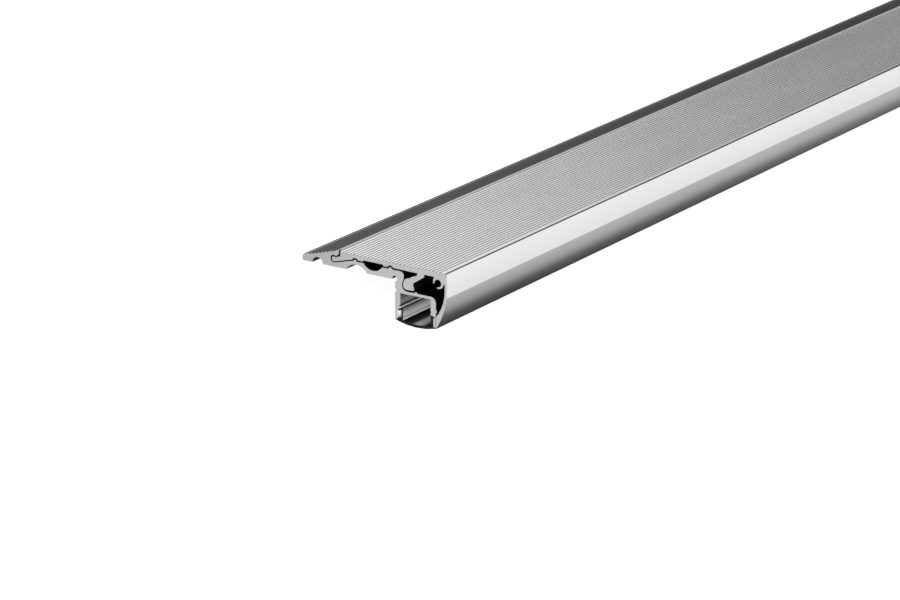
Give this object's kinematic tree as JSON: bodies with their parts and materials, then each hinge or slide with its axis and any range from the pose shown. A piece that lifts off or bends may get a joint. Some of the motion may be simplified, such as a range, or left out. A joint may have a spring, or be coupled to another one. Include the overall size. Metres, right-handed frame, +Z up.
{
  "type": "led stair nosing profile",
  "caption": "Length of aluminium stair nosing with a ribbed tread, a ramped back edge and a hollow under its curved nose that takes an LED strip behind a clipped diffuser.",
  "frame": {"origin": "centre of the footprint, on the floor that the length lies on at rest", "axes": "+Y along the length, away from the cut end seen in the picture; +X towards the nose; +Z up; the section lies 20.7 degrees nose-up from its installed position"},
  "size_m": [0.0643, 1, 0.0293],
  "materials": {
    "base_profile": "mill finish, satin",
    "tread_profile": "satin anodised",
    "diffuser": "clear, slightly smoky"
  },
  "bodies": {
    "root": {"base_profile": "base_profile", "tread_profile": "tread_profile", "diffuser": "diffuser"}
  },
  "joints": []
}
